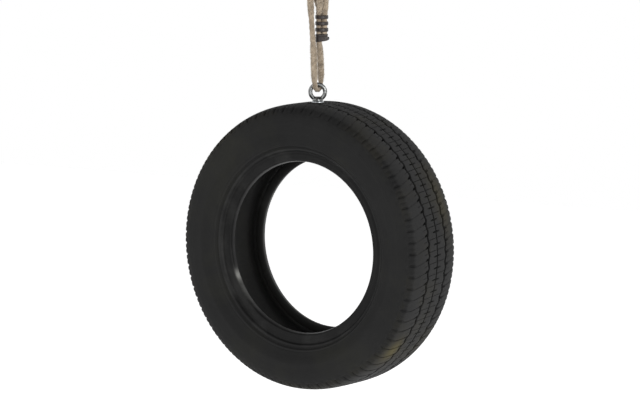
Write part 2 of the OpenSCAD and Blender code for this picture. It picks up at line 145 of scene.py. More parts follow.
def new_piece(name, points, faces, crease=None, uv=None, tone=None):
    """A smooth mesh object from an array of points and a list of faces. Edges bent by more than
    crease degrees stay sharp; uv holds a pair for each point, and tone a number from 0 to 1."""
    mesh = bpy.data.meshes.new(name)
    mesh.from_pydata(np.asarray(points).reshape(-1, 3).tolist(), [], np.asarray(faces, object).tolist())
    if uv is not None:
        corner = np.zeros(len(mesh.loops), int)
        mesh.loops.foreach_get("vertex_index", corner)
        mesh.uv_layers.new(name="UVMap").data.foreach_set("uv", np.asarray(uv)[corner].ravel())
    if tone is not None:
        store(mesh, "tone", tone)
    mesh.polygons.foreach_set("use_smooth", [True] * len(mesh.polygons))
    if crease:
        mesh.set_sharp_from_angle(angle=math.radians(crease))
    mesh.update()
    piece = bpy.data.objects.new(name, mesh)
    bpy.context.scene.collection.objects.link(piece)
    return piece


def add(tree, kind, links=(), **settings):
    """Adds a shader node. A setting named after an input fills it, any other is a property; links
    are (from node, its output, this node's input)."""
    made = tree.nodes.new(kind)
    for key, value in settings.items():
        if key in made.inputs:
            made.inputs[key].default_value = value
        else:
            setattr(made, key, value)
    for source, output, target in links:
        tree.links.new(source.outputs[output], made.inputs[target])
    return made


def linear(hex_colour):
    """Linear RGBA of an sRGB colour written as six hex digits."""
    c = np.array([int(hex_colour[k:k + 2], 16) / 255 for k in (0, 2, 4)])
    c = np.where(c <= 0.04045, c / 12.92, ((c + 0.055) / 1.055) ** 2.4)
    return (*c.tolist(), 1.0)


def new_material(name, **shader):
    """A material with one Principled shader, whose constant inputs are set by name."""
    material = bpy.data.materials.new(name)
    material.use_nodes = True
    principled = material.node_tree.nodes["Principled BSDF"]
    for key, value in shader.items():
        principled.inputs[key.replace("_", " ")].default_value = value
    return material, material.node_tree, principled


def ramp(tree, source, output, stops):
    """A colour ramp over a node's output, from (place, hex colour) stops."""
    made = add(tree, "ShaderNodeValToRGB", [(source, output, "Fac")])
    while len(made.color_ramp.elements) < len(stops):
        made.color_ramp.elements.new(0.5)
    for element, (place, colour) in zip(made.color_ramp.elements, stops):
        element.position = place
        element.color = linear(colour)
    return made


def noise(tree, scale, detail=2, roughness=0.5):
    """Noise laid over a piece's own coordinates, scale spots to the metre."""
    place = add(tree, "ShaderNodeTexCoord")
    return add(tree, "ShaderNodeTexNoise", [(place, "Object", "Vector")],
               Scale=scale, Detail=detail, Roughness=roughness)


def coloured(tree, shader, source, output, stops):
    """Takes a shader's base colour from a ramp over a node's output."""
    tree.links.new(ramp(tree, source, output, stops).outputs["Color"], shader.inputs["Base Color"])


def bumped(tree, shader, source, strength, distance):
    """Roughens a shader's surface by a node's pattern, at most distance metres deep."""
    bump = add(tree, "ShaderNodeBump", [(source, "Fac", "Height")], Strength=strength, Distance=distance)
    tree.links.new(bump.outputs["Normal"], shader.inputs["Normal"])


rope_line = smooth_line(np.array(route_mm) / 1000, 0.0011)


def looseness(line):
    """How loose the rope lies: 1 where it hangs free, 0 in the clamp, less where it bends over
    the ring and the eye, which squeeze it."""
    height = [-0.314, -0.300, -0.250, -0.238, -0.186, -0.174, -0.150, -0.128, -0.116]
    return np.interp(line[:, 2], height, [-0.5, 1, 1, 0, 0, 1, 1, 0, -0.5])


def laid_rope(line, d, sides=40):
    """Surface of a three strand rope. At angle a round the line and run s along it, the radius is
    that of the nearest strand's circle, whose centre turns once in each lay; loose yarn fills the
    valleys between strands, each strand carries its own fine yarn ridges, and the whole rope is
    fuller where it lies loose."""
    _, u, v = frames_along(line)
    run = np.r_[0, np.cumsum(np.linalg.norm(np.diff(line, axis=0), axis=1))]
    a = full_turn(sides)
    turn = a[None, :] - 2 * math.pi * run[:, None] / rope_lay
    third = 2 * math.pi / 3
    off = (turn + third / 2) % third - third / 2
    strand_r = d / 2 / (1 + 2 / math.sqrt(3))
    centre_r = d / 2 - strand_r
    reach = centre_r * np.cos(off) + np.sqrt(np.maximum(strand_r ** 2 - (centre_r * np.sin(off)) ** 2, 0))
    yarns = 0.010 * d * np.cos(off * 13 + 2 * math.pi * run[:, None] / 0.006)
    swell = 0.012 * d * np.sin(run[:, None] * 210 + 2 * np.sin(run[:, None] * 83))
    radius = 0.30 * reach + (0.385 + 0.09 * looseness(line)[:, None]) * d + yarns + swell
    points = (line[:, None, :] + radius[..., None] * (np.cos(a)[None, :, None] * u[:, None, :]
              + np.sin(a)[None, :, None] * v[:, None, :]))
    uv = np.stack(np.broadcast_arrays(off / third + 0.5, run[:, None]), -1)
    return points, uv.reshape(-1, 2)


rope_points, rope_uv = laid_rope(rope_line, rope_d)
n_rings, n_sides = rope_points.shape[:2]
rope_faces = grid_faces(n_rings, n_sides, closed_columns=True)[:, ::-1].tolist()
rope_faces += [list(range(n_sides))[::-1], list(range((n_rings - 1) * n_sides, n_rings * n_sides))]
rope = new_piece("hemp_rope", rope_points, rope_faces, uv=rope_uv)

# Split-film hemp-look yarn: pale straw with darker fibres, no gloss but a soft sheen at the rim.
hemp, tree, shader = new_material("split_polypropylene_yarn", Roughness=0.85,
                                  Sheen_Weight=0.35, Sheen_Roughness=0.5)
place = add(tree, "ShaderNodeUVMap")
fibre_scale = add(tree, "ShaderNodeMapping", [(place, "UV", "Vector")],
                  Scale=(9, 420, 1), Rotation=(0, 0, 0.5))
fibres = add(tree, "ShaderNodeTexNoise", [(fibre_scale, "Vector", "Vector")],
             Scale=1.0, Detail=4, Roughness=0.65)
patches = noise(tree, 90, 3)
mixed = add(tree, "ShaderNodeMath", [(fibres, "Fac", 0), (patches, "Fac", 1)], operation="ADD")
average = add(tree, "ShaderNodeMath", [(mixed, "Value", 0)], operation="MULTIPLY")
average.inputs[1].default_value = 0.5
coloured(tree, shader, average, "Value",
         [(0.34, "665a4c"), (0.47, "8e7f6c"), (0.60, "a99a86"), (0.74, "bfb3a0")])
bumped(tree, shader, fibres, 0.7, 0.0006)
rope.data.materials.append(hemp)

# Loose fibre ends stand off the yarns all along the rope and give it its soft edge.
rng = np.random.default_rng(11)


def stray_fibres(count, line, d):
    """Thin three-sided fibres where the rope lies loose. Each leaves its surface at a low angle,
    then bends outwards: after a share t of its length it is t along and t to the power 1.6 out."""
    ahead, u, v = frames_along(line)
    loose = looseness(line)
    at = rng.choice(np.flatnonzero(loose > 0.1), count)
    a = rng.uniform(0, 2 * math.pi, count)
    out = np.cos(a)[:, None] * u[at] + np.sin(a)[:, None] * v[at]
    along = ahead[at] * rng.choice([-1, 1], count)[:, None]
    side = np.cross(out, along)
    length = rng.uniform(0.0018, 0.0042, count)
    rise = rng.uniform(0.25, 0.60, count)
    root = (0.49 + 0.09 * loose[at])[:, None, None] * d
    lean = rng.uniform(-0.6, 0.6, count)
    t = np.linspace(0, 1, 4)
    share = t[None, :, None]
    rising = out[:, None] * (root + (rise * length)[:, None, None] * share ** 1.6)
    leaving = (along[:, None] + side[:, None] * lean[:, None, None]) * (length[:, None, None] * share)
    spine = line[at][:, None] + rising + leaving
    thick = 0.00009 * (1 - 0.6 * t)
    corners = 2 * math.pi * np.arange(3) / 3
    ring = np.cos(corners)[:, None] * out[:, None, None] + np.sin(corners)[:, None] * side[:, None, None]
    points = spine[:, :, None] + thick[None, :, None, None] * ring
    one = grid_faces(4, 3, closed_columns=True)
    faces = (one[None] + 12 * np.arange(count)[:, None, None]).reshape(-1, 4).tolist()
    caps = np.concatenate([[[0, 1, 2]], [[11, 10, 9]]])
    faces += (caps[None] + 12 * np.arange(count)[:, None, None]).reshape(-1, 3).tolist()
    return points, faces


fuzz_points, fuzz_faces = stray_fibres(9000, rope_line, rope_d)
fuzz = new_piece("rope_fibre_ends", fuzz_points, fuzz_faces)
fibre, tree, shader = new_material("loose_yarn_ends", Roughness=0.9, Sheen_Weight=0.3)
coloured(tree, shader, noise(tree, 300), "Fac", [(0.35, "9a8c79"), (0.65, "d6cab8")])
fuzz.data.materials.append(fibre)

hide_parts("rope")
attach(rope, "rope")
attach(fuzz, "rope")

# ---- Length clamp ---------------------------------------------------------------------------
# One dark brown moulding of impact-modified polypropylene: three hoops and a block on a spine.
# The two rope ends stop in the block, and the standing part slides through it.

clamp_centre = np.array([0.002, 0.0105])
clamp_turn = math.radians(35)
strands = np.array([(-0.0005, 0.005), (0.008, 0.011), (-0.0015, 0.0155)])
strand_hole_r = 0.0053
hoop_out_r = 0.0125
hoop_in_r = 0.0112
hoop_h = 0.007
hoop_pitch = 0.012
spine_half_w = 0.0045
block_wall = 0.0014
block_below_top = 0.0355
block_low, hoop_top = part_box("rope_clamp")[0][2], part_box("rope_clamp")[1][2]
hoop_heights = [hoop_top - hoop_h / 2 - hoop_pitch * k for k in range(3)]
block_top = hoop_top - block_below_top


def closed_faces(points):
    """Quads of a grid of points that closes on itself in both directions."""
    return grid_faces(*points.shape[:2], closed_rows=True, closed_columns=True)


def tube_faces(rows, columns):
    """Quads of a grid of points that closes round its columns, with a cap on each end."""
    faces = grid_faces(rows, columns, closed_columns=True).tolist()
    return faces + [list(range(columns))[::-1], list(range((rows - 1) * columns, rows * columns))]


def ring_surface(path, section):
    """A closed section carried round a closed path. Path is (points, outward directions, up
    directions); the section's two numbers are measured outwards and upwards."""
    centre, out, up = path
    points = centre[:, None] + section[None, :, :1] * out[:, None] + section[None, :, 1:] * up[:, None]
    return points, closed_faces(points).tolist()


def rounded_section(half_w, half_h, power=4, count=20):
    """Points round a superellipse, which is a rectangle with soft corners at powers over 2."""
    a = full_turn(count)
    c, s = np.cos(a), np.sin(a)
    reach = (np.abs(c / half_w) ** power + np.abs(s / half_h) ** power) ** (-1 / power)
    return np.stack([reach * c, reach * s], 1)


def joined(parts):
    """Points and faces of several meshes as one."""
    points, faces, start = [], [], 0
    for p, f in parts:
        points.append(np.asarray(p).reshape(-1, 3))
        faces += [[start + k for k in face] for face in f]
        start += len(points[-1])
    return np.vstack(points), faces


def turned_outwards(piece, merge_flats=False):
    """Merges doubled points and points every face of a closed mesh outwards. On request it also
    merges the faces that lie in one plane."""
    b = bmesh.new()
    b.from_mesh(piece.data)
    bmesh.ops.remove_doubles(b, verts=b.verts, dist=1e-7)
    bmesh.ops.recalc_face_normals(b, faces=b.faces)
    if merge_flats:
        bmesh.ops.dissolve_limit(b, angle_limit=math.radians(1), verts=b.verts, edges=b.edges)
    b.to_mesh(piece.data)
    b.free()
    piece.data.update()
    return piece


def clamp_hoop(height):
    """A soft-edged band round the clamp's axis."""
    a = full_turn(72)
    out = about_z(1, a, 0)
    middle = (hoop_out_r + hoop_in_r) / 2
    centre = np.array([*clamp_centre, height]) + middle * out
    up = np.broadcast_to([0.0, 0, 1], out.shape)
    return ring_surface((centre, out, up), rounded_section((hoop_out_r - hoop_in_r) / 2, hoop_h / 2, 3, 32))


def clamp_spine():
    """A strip of the hoops' own curve at the back, from the top hoop into the block. Its section is
    an arc outside and an arc inside, and it thins by 0.15 mm half way between two hoops."""
    half = math.asin(spine_half_w / hoop_out_r)
    back = clamp_turn + math.pi / 2
    a = back + np.concatenate([np.linspace(-half, half, 12), np.linspace(half, -half, 12)])
    inner = np.repeat([0.0, 1.0], 12)
    z = np.linspace(hoop_heights[0], block_top - 0.003, 40)[:, None]
    thin = 0.00015 * np.sin(math.pi * (z - hoop_heights[0]) / hoop_pitch) ** 2
    r = np.where(inner == 1, hoop_in_r + 0.0001, hoop_out_r - 0.0004 - thin)
    return about_z(r, a, z) + [*clamp_centre, 0], tube_faces(len(z), 24)


def strand_outline(r, count=96):
    """The line at distance r round the three strands, as a function of the angle seen from the
    clamp's centre: the furthest of the three circles and the straights between them."""
    a = full_turn(count)
    way = np.stack([np.cos(a), np.sin(a)], 1)
    fine = full_turn(720)
    normals = np.stack([np.cos(fine), np.sin(fine)], 1)
    support = (normals @ (strands - clamp_centre).T).max(1) + r
    reach = (support[None, :] / np.maximum(way @ normals.T, 1e-3)).min(1)
    return clamp_centre + reach[:, None] * way


def clamp_block():
    """The block as stacked outlines with rolled edges; its foot slants up to the right, a shallow
    waist runs round it at two thirds of its height, and a screw recess is pressed into its side."""
    share = np.linspace(0, 1, 34)
    rolled = 0.0012 * (np.clip(1 - share / 0.08, 0, 1) ** 2 + np.clip((share - 0.92) / 0.08, 0, 1) ** 2)
    waist = 0.00055 * bell(share, 0.72, 0.045)
    across = np.array([math.cos(clamp_turn), math.sin(clamp_turn)])
    rows = []
    for t, inset in zip(share, rolled + waist):
        line = strand_outline(strand_hole_r + block_wall - inset)
        sideways = (line - clamp_centre) @ across
        foot = block_low + 0.0012 + np.tan(math.radians(9)) * (sideways + 0.010)
        z = foot + (block_top - foot) * t
        notch = np.exp(-((sideways - 0.0125) / 0.003) ** 2 - ((z - (block_top - 0.0065)) / 0.0016) ** 2)
        line = line - 0.0022 * notch[:, None] * across
        rows.append(np.column_stack([line, z]))
    points = np.stack(rows)
    return points, tube_faces(*points.shape[:2])


def fitting(piece, node, body, finish):
    """Gives a finished piece its material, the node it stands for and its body."""
    piece.data.materials.clear()
    piece.data.materials.append(finish)
    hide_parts(node)
    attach(piece, body)
    return piece


clamp_parts = [clamp_hoop(h) for h in hoop_heights] + [clamp_spine(), clamp_block()]
clamp = turned_outwards(new_piece("rope_clamp_moulding", *joined(clamp_parts)))

# Moulded polypropylene, semi-matte: fine spark-eroded grain, scuffs a little paler on the edges.
moulding, tree, shader = new_material("moulded_brown_plastic", Roughness=0.42, IOR=1.49,
                                      Specular_IOR_Level=0.5)
scuffs = noise(tree, 140, 5, 0.7)
coloured(tree, shader, scuffs, "Fac", [(0.35, "1a1311"), (0.62, "2b2320"), (0.8, "4a403a")])
bumped(tree, shader, noise(tree, 1400), 0.35, 0.0002)
fitting(clamp, "rope_clamp", "rope", moulding)

# ---- Tyre shape -----------------------------------------------------------------------------
# A 13 inch radial car tyre. Every layer follows one outline, from the crown over the shoulder to
# the widest point and in to the bead, and is laid at its own depth under that outline.

half_w = (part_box("rear_sidewall")[1][1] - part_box("front_sidewall")[0][1]) / 2
half_bead = 0.058
shoulder_drop = 0.0515
widest_r = tyre_r - shoulder_drop
bead_r = 0.171
shoulder_power = 4.5
ply_half = 0.0006
ply_t = 0.0012
TREAD_END, CHAFER_START, LINER_END = 0.72, 1.64, 1.8  # places on the outline


def outline(s):
    """Point (across, out from the axis) at place s: a superellipse quarter from 0 to 1, then a
    cosine ease from the widest point in to the bead at 2."""
    s = np.asarray(s, float)
    a = np.radians(90 * np.clip(s, 0, 1))
    reach = ((np.sin(a) / half_w) ** shoulder_power
             + (np.cos(a) / (tyre_r - widest_r)) ** shoulder_power) ** (-1 / shoulder_power)
    u = np.clip(s - 1, 0, 1)
    eased = (1 + np.cos(math.pi * u)) / 2
    across = np.where(s < 1, reach * np.sin(a), half_bead + (half_w - half_bead) * eased)
    out = np.where(s < 1, widest_r + reach * np.cos(a), widest_r - (widest_r - bead_r) * u)
    return np.stack([across, out], -1)


def outward(s):
    """Unit direction square to the outline, away from the tyre."""
    s = np.asarray(s, float)
    way = outline(np.minimum(s + 0.01, 2)) - outline(np.maximum(s - 0.01, 0))
    way /= np.linalg.norm(way, axis=-1, keepdims=True)
    return np.stack([-way[..., 1], way[..., 0]], -1)


def ply_depth(s):
    """Depth of the carcass ply's middle under the skin."""
    return np.interp(s, [0, 0.64, 1, 1.48, 2], [0.0126, 0.0126, 0.0046, 0.0046, 0.010])


def under(s, depth):
    """Points at a depth under the skin."""
    return outline(s) - np.asarray(depth)[..., None] * outward(s)


def about_axis(across, out, angle):
    """Points at a place across the tyre, a distance from its axis and an angle round it."""
    across, out, angle = np.broadcast_arrays(across, out, angle)
    return np.stack([out * np.cos(angle), across, out * np.sin(angle)], -1) + tyre_centre


# ---- Tread ----------------------------------------------------------------------------------
# The tread band of weathered rubber, moulded in 76 equal pitches: a fine centre groove, a zigzag
# groove on each side, siped inner ribs and shoulder blocks whose slots open over the shoulder.

pitches = 76
sharp_edge = 30  # degrees; an edge that bends more stays sharp
shoulder_in, shoulder_out = 0.0375, 0.0615
centre_groove, zigzag_at, zigzag_half = 0.0018, 0.028, 0.0027
groove_depth, sipe_depth, sipe_half = 0.0068, 0.0042, 0.018

# Half of the rows across the tread: place, and whether the row lies at a groove's foot.
half_rows = [(0.0, 1), (centre_groove - 0.0003, 1), (centre_groove, 0)]
half_rows += [(y, 0) for y in (0.0038, 0.0075, 0.0115, 0.0155, 0.0195, 0.0228)]
half_rows += [(zigzag_at - zigzag_half, 0), (zigzag_at - zigzag_half + 0.0004, 1),
              (zigzag_at + zigzag_half - 0.0004, 1), (zigzag_at + zigzag_half, 0)]
half_rows += [(y, 0) for y in (0.0335, 0.038, 0.043, 0.048, 0.053, 0.0575, 0.0612, 0.0642, 0.0668, 0.0690,
                               0.0708, 0.0722, 0.0733, 0.0742, 0.0749, 0.0755)]
row_y = np.array([-y for y, _ in half_rows[:0:-1]] + [y for y, _ in half_rows])
row_foot = np.array([f for _, f in half_rows[:0:-1]] + [f for _, f in half_rows])
fine_s = np.linspace(0, TREAD_END, 2000)
row_s = np.interp(np.abs(row_y), outline(fine_s)[:, 0], fine_s)
row_s[[0, -1]] = TREAD_END

# Places of the columns inside one pitch, closer at the walls of the slots and sipes.
pitch_u = np.array([-0.155, -0.115, -0.07, -0.032, -0.022, 0.022, 0.032, 0.07, 0.115, 0.155, 0.26, 0.37,
                    0.476, 0.486, 0.514, 0.524, 0.63, 0.74])
column_u = (np.arange(pitches)[:, None] + pitch_u[None]).ravel()
column_local = np.tile(pitch_u, pitches)

y, u = row_y[:, None], column_local[None]
size = np.abs(y)
side_sign = np.where(y < 0, -1.0, 1.0)
zig_share = np.interp(size, [0.010, 0.0235, 0.0325, 0.046], [0, 1, 1, 0])
zigzag = 0.0019 * (4 * np.abs((u + side_sign * 0.25) % 1 - 0.5) - 1) * zig_share
wave = 0.0005 * np.sin(2 * math.pi * u) * np.interp(size, [0, 0.008], [1, 0])
slant = np.interp(size, [0.0, 0.0195, 0.031, 0.060], [0.0, 0.10, 0.18, 0.62]) * side_sign


# Each slot is a cup beside the zigzag groove, a fine line over the shoulder rib, worn shallower
# at the top of the tyre, and a smooth scallop round the shoulder's edge, with a smaller scallop
# half a pitch on.
def cut_box(low, high, middle, half, depth):
    """A cut of a depth, between two places across the tread and round one place in the pitch."""
    return np.where((size >= low) & (size < high) & (np.abs(u - middle) < half), depth, 0)


low_down = np.clip(-np.sin(2 * math.pi * column_u[None] / pitches), 0, 1)
line_half = np.where(low_down > 0.4, 0.035, 0.025)
cup = cut_box(zigzag_at + zigzag_half, shoulder_in, 0, 0.075, 0.0045)
fine_line = cut_box(shoulder_in, shoulder_out, 0, line_half, 0.0006 + 0.0020 * low_down)
scallop_share = np.interp(size, [0.0600, 0.0668, 0.0733, 0.0752], [0, 1, 0.9, 0])
scallop = 0.0033 * scallop_share * (0.5 + 0.5 * np.cos(math.pi * np.clip(u / 0.155, -1, 1)))
small_scallop = 0.0010 * scallop_share * (0.5 + 0.5 * np.cos(math.pi * np.clip((u - 0.5) / 0.13, -1, 1)))
sipe = cut_box(0.0035, 0.0235, 0.5, sipe_half, sipe_depth)
short_sipe = cut_box(0.031, 0.043, 0.5, sipe_half, 0.0012)
edge_notch = cut_box(0.0005, 0.008, 0, 0.05, 0.0032)
groove = np.where(row_foot[:, None] == 1, groove_depth, 0)
edge_wear = 0.0003 * np.isin(np.round(size, 5), np.round([centre_groove, zigzag_at - zigzag_half,
                                                         zigzag_at + zigzag_half], 5))
cuts = np.broadcast_arrays(cup, fine_line, scallop, small_scallop, sipe, short_sipe, edge_notch, groove)
depth = np.maximum.reduce(cuts) + edge_wear
angle = 2 * math.pi * (column_u[None] + slant) / pitches
s_zig = np.interp(np.abs(y + zigzag + wave), outline(fine_s)[:, 0], fine_s)
s_here = np.where(size > 0.046, row_s[:, None], s_zig)
place_out = under(s_here, depth)
signed = np.sign(np.where(y + zigzag + wave == 0, 1, y + zigzag + wave))
tread_top = about_axis(signed * place_out[..., 0], place_out[..., 1], angle)

# The band's underside, on the belts in the middle and on the ply at its edges.
floor_s = np.array([TREAD_END, 0.64, 0.6399, 0.60, 0.30, 0.0])
floor_depth = ply_depth(floor_s) - ply_half - np.array([0, 0, 1, 2, 2, 2]) * ply_t
floor_depth[1:3] = ply_depth(0.64) - ply_half - np.array([0, 1]) * ply_t
floor_half = under(floor_s, floor_depth)
floor_line = np.vstack([floor_half, (floor_half * [-1, 1])[-2::-1]])
lean_back = np.linspace(0, 1, len(floor_line))[:, None]
tread_floor = about_axis(floor_line[:, :1], floor_line[:, 1:],
                         angle[-1][None] * (1 - lean_back) + angle[0][None] * lean_back)
tread_points = np.concatenate([tread_top, tread_floor])
tread_faces = closed_faces(tread_points)

# The tone of the rubber is painted shade: pale on the ribs, painted dark in the cuts and past the
# shoulder's edge, where the moulded side turns from the light and begins in a line as scalloped as the
# slots.
side_edge = 0.0660 - 0.0012 * np.cos(2 * math.pi * u)
cut = depth - np.broadcast_to(scallop, depth.shape)
painted_shading = np.interp(size - side_edge, [-0.0022, 0.0022], [1, 0.25])
painted_shading = painted_shading * np.interp(cut, [0.0004, 0.0024], [1, 0.15])
tread_tone = np.concatenate([painted_shading, 0 * angle[:len(floor_line)]])
tread = new_piece("tread_band", tread_points, tread_faces, crease=sharp_edge, tone=tread_tone)

# Dried earth: a brown patch low on the front shoulder and a faint one on the rear ribs higher up.
def patch(across, turn, half_across, half_turn):
    """A soft spot at a place across the tread and an angle round it."""
    off = (angle - turn + math.pi) % (2 * math.pi) - math.pi
    return np.exp(-((y - across) / half_across) ** 2 - (off / half_turn) ** 2)


dirt = 0.7 * patch(-0.045, -0.72, 0.015, 0.10) + 0.22 * patch(0.040, 0.35, 0.014, 0.22)
dirt = dirt * np.interp(cut, [0.0003, 0.0010], [1, 0])
tread_dust = np.concatenate([dirt, 0 * angle[:len(floor_line)]])
store(tread.data, "dust_and_highlight", tread_dust)
turned_outwards(tread)


def rubber(name, dark, pale, dust_and_highlight, dust_amount, roughness, grain_mm=1.2):
    """Weathered carbon-black rubber. The piece's own tone goes from dark to pale and carries painted
    shade and highlight on the tread, sidewalls and bead strips; soft patches shift it. A thin film lies
    in dusty drifts, and where the piece's own value says: dried earth on the tread, a painted highlight
    on the bead strips. grain_mm is the size of the surface grain."""
    material, tree, shader = new_material(name, Roughness=roughness, IOR=1.52, Specular_IOR_Level=0.14)
    # The piece's tone: painted shade and highlight where the piece carries it.
    painted_shading = add(tree, "ShaderNodeAttribute", attribute_name="tone")
    patches = noise(tree, 11, 6, 0.62)
    shifted = add(tree, "ShaderNodeMath", [(painted_shading, "Fac", 0), (patches, "Fac", 1)], operation="ADD")
    halved = add(tree, "ShaderNodeMath", [(shifted, "Value", 0)], operation="MULTIPLY")
    halved.inputs[1].default_value = 0.5
    tone = ramp(tree, halved, "Value", [(0.16, dark), (0.84, pale)])
    drift = noise(tree, 7.5, 6, 0.62)
    cover = add(tree, "ShaderNodeMapRange", [(drift, "Fac", "Value")])
    for key, value in (("From Min", 0.50), ("From Max", 0.70), ("To Max", dust_amount)):
        cover.inputs[key].default_value = value
    # The piece's own film value: dried earth on the tread, a painted highlight on the bead strips.
    lying = add(tree, "ShaderNodeAttribute", attribute_name="dust_and_highlight")
    film = add(tree, "ShaderNodeMath", [(cover, "Result", 0), (lying, "Fac", 1)],
               operation="ADD", use_clamp=True)
    colour = add(tree, "ShaderNodeMix", data_type="RGBA")
    tree.links.new(film.outputs["Value"], colour.inputs[0])
    tree.links.new(tone.outputs["Color"], colour.inputs[6])
    colour.inputs[7].default_value = linear(dust_and_highlight)
    tree.links.new(colour.outputs[2], shader.inputs["Base Color"])
    bumped(tree, shader, noise(tree, 1000 / grain_mm, 3), 0.3, 0.0004)
    return material


tread_rubber = rubber("weathered_tread_rubber", "111111", "282828", "4f482a", 0.12, 0.75)
fitting(tread, "tread", "tyre", tread_rubber)

# ---- Sidewalls ------------------------------------------------------------------------------
# Thin flexing rubber from the tread's edge to the bead strip, with a fine radial buttress at the
# shoulder, a raised rim-guard bead and hair-thin mould lines. Its lettering is left out.

wall_columns = 720
wall_angle = full_turn(wall_columns)


def wall_relief(s, angle):
    """Height of the mould's details over the plain outline: scallops under the shoulder slots,
    a rounded guard bead, and three hair lines."""
    edge = bell(s, 0.745, 0.022)
    scallop = -0.0007 * edge * (0.5 + 0.5 * np.cos(pitches * angle)) ** 2
    guard = 0.0013 * bell(s, 1.52, 0.028) - 0.0006 * bell(s, 1.60, 0.02)
    lines = sum(0.0004 * bell(s, at, 0.005) for at in (0.86, 0.885, 1.44))
    soft_step = -0.0006 / (1 + np.exp(-(s - 1.06) / 0.012)) + 0.0006 / (1 + np.exp(-(s - 1.36) / 0.012))
    return scallop + guard + lines + soft_step


def wall_painted_shade(s, angle):
    """Painted shade of the skin: paler on the raised bands and darker in the hollows, painted dark at the
    foot of the guard bead, and darker toward the top of the tyre, where less light falls."""
    foot = bell(s, 1.60, 0.03)
    top = np.clip(np.sin(angle), 0, 1) ** 3
    return 0.55 + 300 * wall_relief(s, angle) - 0.35 * foot - 0.35 * top


def sidewall(side):
    """A closed hoop: the moulded skin, the lap on the bead strip and the back face on the ply."""
    stretches = [(TREAD_END, 0.80, 9), (0.82, 0.92, 14), (0.95, 1.40, 12), (1.42, 1.46, 7),
                 (1.47, CHAFER_START, 14)]
    s = np.concatenate([np.linspace(*stretch) for stretch in stretches])
    angle = wall_angle[None]
    skin_line = outline(s)[:, None] + wall_relief(s[:, None], angle)[..., None] * outward(s)[:, None]
    skin_line[[0, -1]] = outline(s[[0, -1]])[:, None]
    lap = under(np.linspace(CHAFER_START, 1.52, 4), 0.004)
    back_s = np.linspace(1.52, TREAD_END, 12)[1:]
    back = under(back_s, ply_depth(back_s) - ply_half)
    rest = np.broadcast_to(np.vstack([lap, back])[:, None], (len(lap) + len(back), wall_columns, 2))
    line = np.concatenate([skin_line, rest])
    points = about_axis(side * line[..., 0], line[..., 1], angle)
    tone = np.zeros(points.shape[:2])
    # Painted shade: the skin's tone follows its relief and darkens toward the top.
    tone[:len(s)] = wall_painted_shade(s[:, None], angle)
    return points, closed_faces(points), tone


wall_rubber = rubber("weathered_sidewall_rubber", "101010", "212121", "27271f", 0.35, 0.65, grain_mm=0.9)
for name, side in (("front", -1), ("rear", 1)):
    points, faces, tone = sidewall(side)
    wall = turned_outwards(new_piece(name + "_sidewall_skin", points, faces, tone=tone))
    fitting(wall, name + "_sidewall", "tyre", wall_rubber)

# ---- Bead strips ----------------------------------------------------------------------------
# Hard chafer rubber wrapped round each bead: the smooth band that sits on a wheel's rim, with two
# centring lines on its face and a rounded heel and toe. Its face is painted dark as shade, and its
# lip painted light as a highlight.

toe_r = 0.1635


def bead_strip(side):
    """A closed hoop: face, heel, base, toe, up the inside, and back round the ply and the wire."""
    s = np.linspace(CHAFER_START, 2, 26)
    valley = 0.0022 * bell(s, 1.79, 0.055)
    relief = sum(0.0005 * bell(s, at, 0.007) for at in (1.68, 1.71)) - valley
    relief[0] = 0
    face = outline(s) + relief[:, None] * outward(s)
    heel = outline(2.0)
    turn = np.radians(np.linspace(0, 80, 9))[1:]
    heel_arc = heel + np.stack([-0.0055 * (1 - np.cos(turn)), -0.0062 * np.sin(turn)], 1)
    toe = np.array([heel[0] - 0.012, toe_r])
    base = np.linspace(heel_arc[-1], toe + [0.0016, 0.0002], 5)[1:]
    toe_arc = toe + np.array([[0.0006, 0.0001], [0.0, 0.0006], [-0.0001, 0.0014]])
    inside_s = np.linspace(2, LINER_END, 6)
    inside = under(inside_s, ply_depth(inside_s) + ply_half + ply_t)
    back_s = np.linspace(LINER_END, 2, 6)
    back = under(back_s, ply_depth(back_s) + ply_half)
    round_wire = under(np.linspace(2, CHAFER_START, 10), 0.004)
    line = np.vstack([face, heel_arc, base, toe_arc, inside, back, round_wire])
    points = about_axis(side * line[:, :1], line[:, 1:], wall_angle[None, ::2])
    tone = np.zeros(points.shape[:2])
    # Painted shade on the face, painted highlight along the toe.
    tone[:len(s)] = np.interp(s, [1.66, 1.72], [0.5, 0])[:, None]
    at_toe = len(s) + len(heel_arc) + len(base)
    tone[at_toe - 3:at_toe + len(toe_arc)] = 1
    return points, closed_faces(points), tone


def painted_lip_highlight(piece):
    """Painted highlight at each point: a bright spot low on the left lip, with a faint tail."""
    off = np.array([vertex.co[:] for vertex in piece.data.vertices]) - tyre_centre
    around = np.arctan2(-off[:, 2], -off[:, 0])
    spot = 0.75 * bell(around, 0.40, 0.06)
    tail = 0.12 * bell(around, 0.58, 0.14)
    return (spot + tail) * np.exp(-((np.hypot(off[:, 0], off[:, 2]) - toe_r - 0.001) / 0.0018) ** 2)


# The strips' pale film is painted light: a highlight spot low on the front lip, and a faint even lightening
# of the rear strip.
strip_rubber = rubber("chafer_rubber_painted_highlight", "060606", "262626", "8f8f8b", 0.06, 0.45, grain_mm=2.0)
for name, side in (("front", -1), ("rear", 1)):
    points, faces, tone = bead_strip(side)
    strip = turned_outwards(new_piece(name + "_bead_strip", points, faces, tone=tone))
    store(strip.data, "dust_and_highlight", painted_lip_highlight(strip) if side < 0 else [0.05] * len(strip.data.vertices))
    fitting(strip, name + "_chafer", "tyre", strip_rubber)

# ---- Inner liner ----------------------------------------------------------------------------
# Butyl rubber, smooth and almost black, with the fine slanting ribs that the curing bladder's
# vents leave all over the inside of a tyre.


